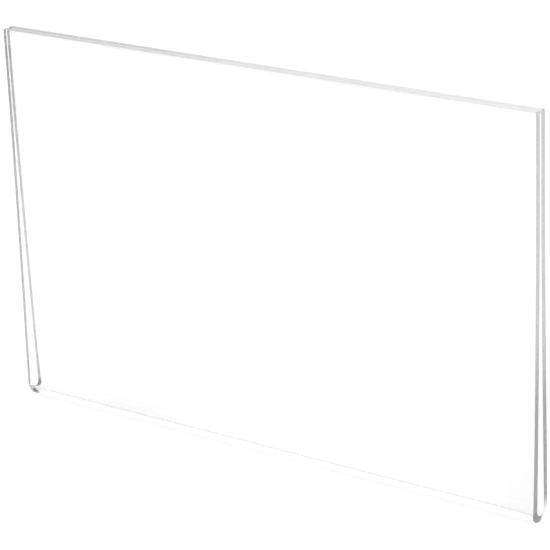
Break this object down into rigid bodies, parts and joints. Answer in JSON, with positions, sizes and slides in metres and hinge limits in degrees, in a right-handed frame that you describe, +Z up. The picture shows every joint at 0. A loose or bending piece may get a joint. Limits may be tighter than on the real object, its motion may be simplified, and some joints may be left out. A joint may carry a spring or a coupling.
{
  "type": "sneeze guard panel sleeve",
  "caption": "Clear acrylic sheet folded at the bottom into a narrow, springy sleeve that is open at the top and at both ends.",
  "frame": {"origin": "bottom centre of the fold, midway between the two walls and the two ends", "axes": "+X along the fold, +Y from the front wall towards the rear wall, +Z up towards the open top"},
  "size_m": [0.2794, 0.0122, 0.1833],
  "materials": {
    "clear_acrylic": "polished clear"
  },
  "bodies": {
    "rear": {"rear_panel": "clear_acrylic", "rear_fold": "clear_acrylic"},
    "front": {"front_fold": "clear_acrylic", "front_panel": "clear_acrylic"}
  },
  "joints": [
    {"name": "fold_flex", "type": "hinge", "parent": "rear", "child": "front", "pos_m": [0, 0, 0], "axis": [1, 0, 0], "range_deg": [0, 5], "stiffness_Nm_per_rad": 18}
  ]
}
